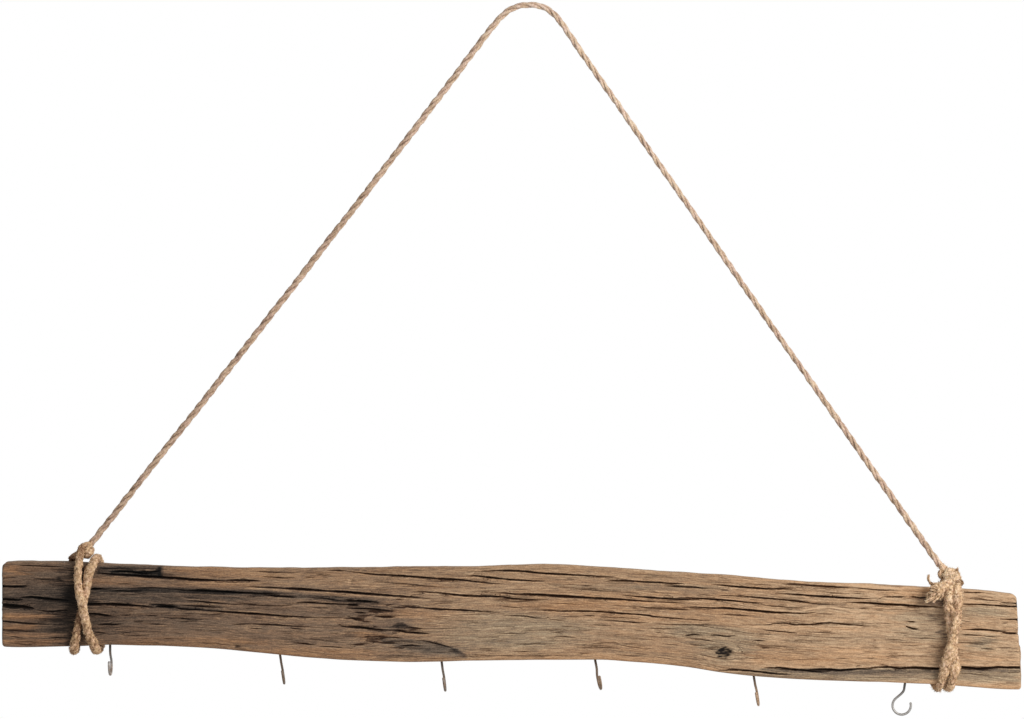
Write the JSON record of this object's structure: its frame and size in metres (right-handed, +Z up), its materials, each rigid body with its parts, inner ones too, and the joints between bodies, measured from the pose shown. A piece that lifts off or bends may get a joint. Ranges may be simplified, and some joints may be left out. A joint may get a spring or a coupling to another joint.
{
  "type": "hanging rope shelf",
  "caption": "Weathered timber beam slung on one jute rope that is lashed round each end, with bent wire screw hooks in a row underneath to hang small things from.",
  "frame": {"origin": "under the top bend of the rope, where the nail or peg goes", "axes": "+X along the beam to the right, +Z up, and the front face of the beam looks along -Y"},
  "size_m": [1, 0.063, 0.7027],
  "materials": {
    "weathered_wood": "weathered, unfinished, with open drying checks",
    "jute_rope": "laid natural jute, hairy",
    "hook_steel": "dull wire, darkened with age"
  },
  "bodies": {
    "rope": {"rope_span": "jute_rope"},
    "beam": {"beam": "weathered_wood", "rope_left_lashing": "jute_rope", "rope_right_lashing": "jute_rope"},
    "hook_1": {"hook_1": "hook_steel"},
    "hook_2": {"hook_2": "hook_steel"},
    "hook_3": {"hook_3": "hook_steel"},
    "hook_4": {"hook_4": "hook_steel"},
    "hook_5": {"hook_5": "hook_steel"},
    "hook_6": {"hook_6": "hook_steel"}
  },
  "joints": [
    {"name": "beam_swing", "type": "hinge", "parent": "rope", "child": "beam", "pos_m": [-0.4265, 0, -0.5221], "axis": [0.9997, 0, -0.0249], "range_deg": [-75, 75]},
    {"name": "hook_1_turn", "type": "hinge", "parent": "beam", "child": "hook_1", "pos_m": [-0.412, 0, -0.62604], "axis": [-0.0087, 0, 1], "range_deg": [-180, 180]},
    {"name": "hook_2_turn", "type": "hinge", "parent": "beam", "child": "hook_2", "pos_m": [-0.245, 0, -0.63534], "axis": [-0.1461, 0, 0.9893], "range_deg": [-180, 180]},
    {"name": "hook_3_turn", "type": "hinge", "parent": "beam", "child": "hook_3", "pos_m": [-0.086, 0, -0.64232], "axis": [-0.1271, 0, 0.9919], "range_deg": [-180, 180]},
    {"name": "hook_4_turn", "type": "hinge", "parent": "beam", "child": "hook_4", "pos_m": [0.065, 0, -0.64103], "axis": [-0.1908, 0, 0.9816], "range_deg": [-180, 180]},
    {"name": "hook_5_turn", "type": "hinge", "parent": "beam", "child": "hook_5", "pos_m": [0.221, 0, -0.65676], "axis": [-0.1633, 0, 0.9866], "range_deg": [-180, 180]},
    {"name": "hook_6_turn", "type": "hinge", "parent": "beam", "child": "hook_6", "pos_m": [0.37, 0, -0.66353], "axis": [0.1461, 0, 0.9893], "range_deg": [-180, 180]}
  ]
}
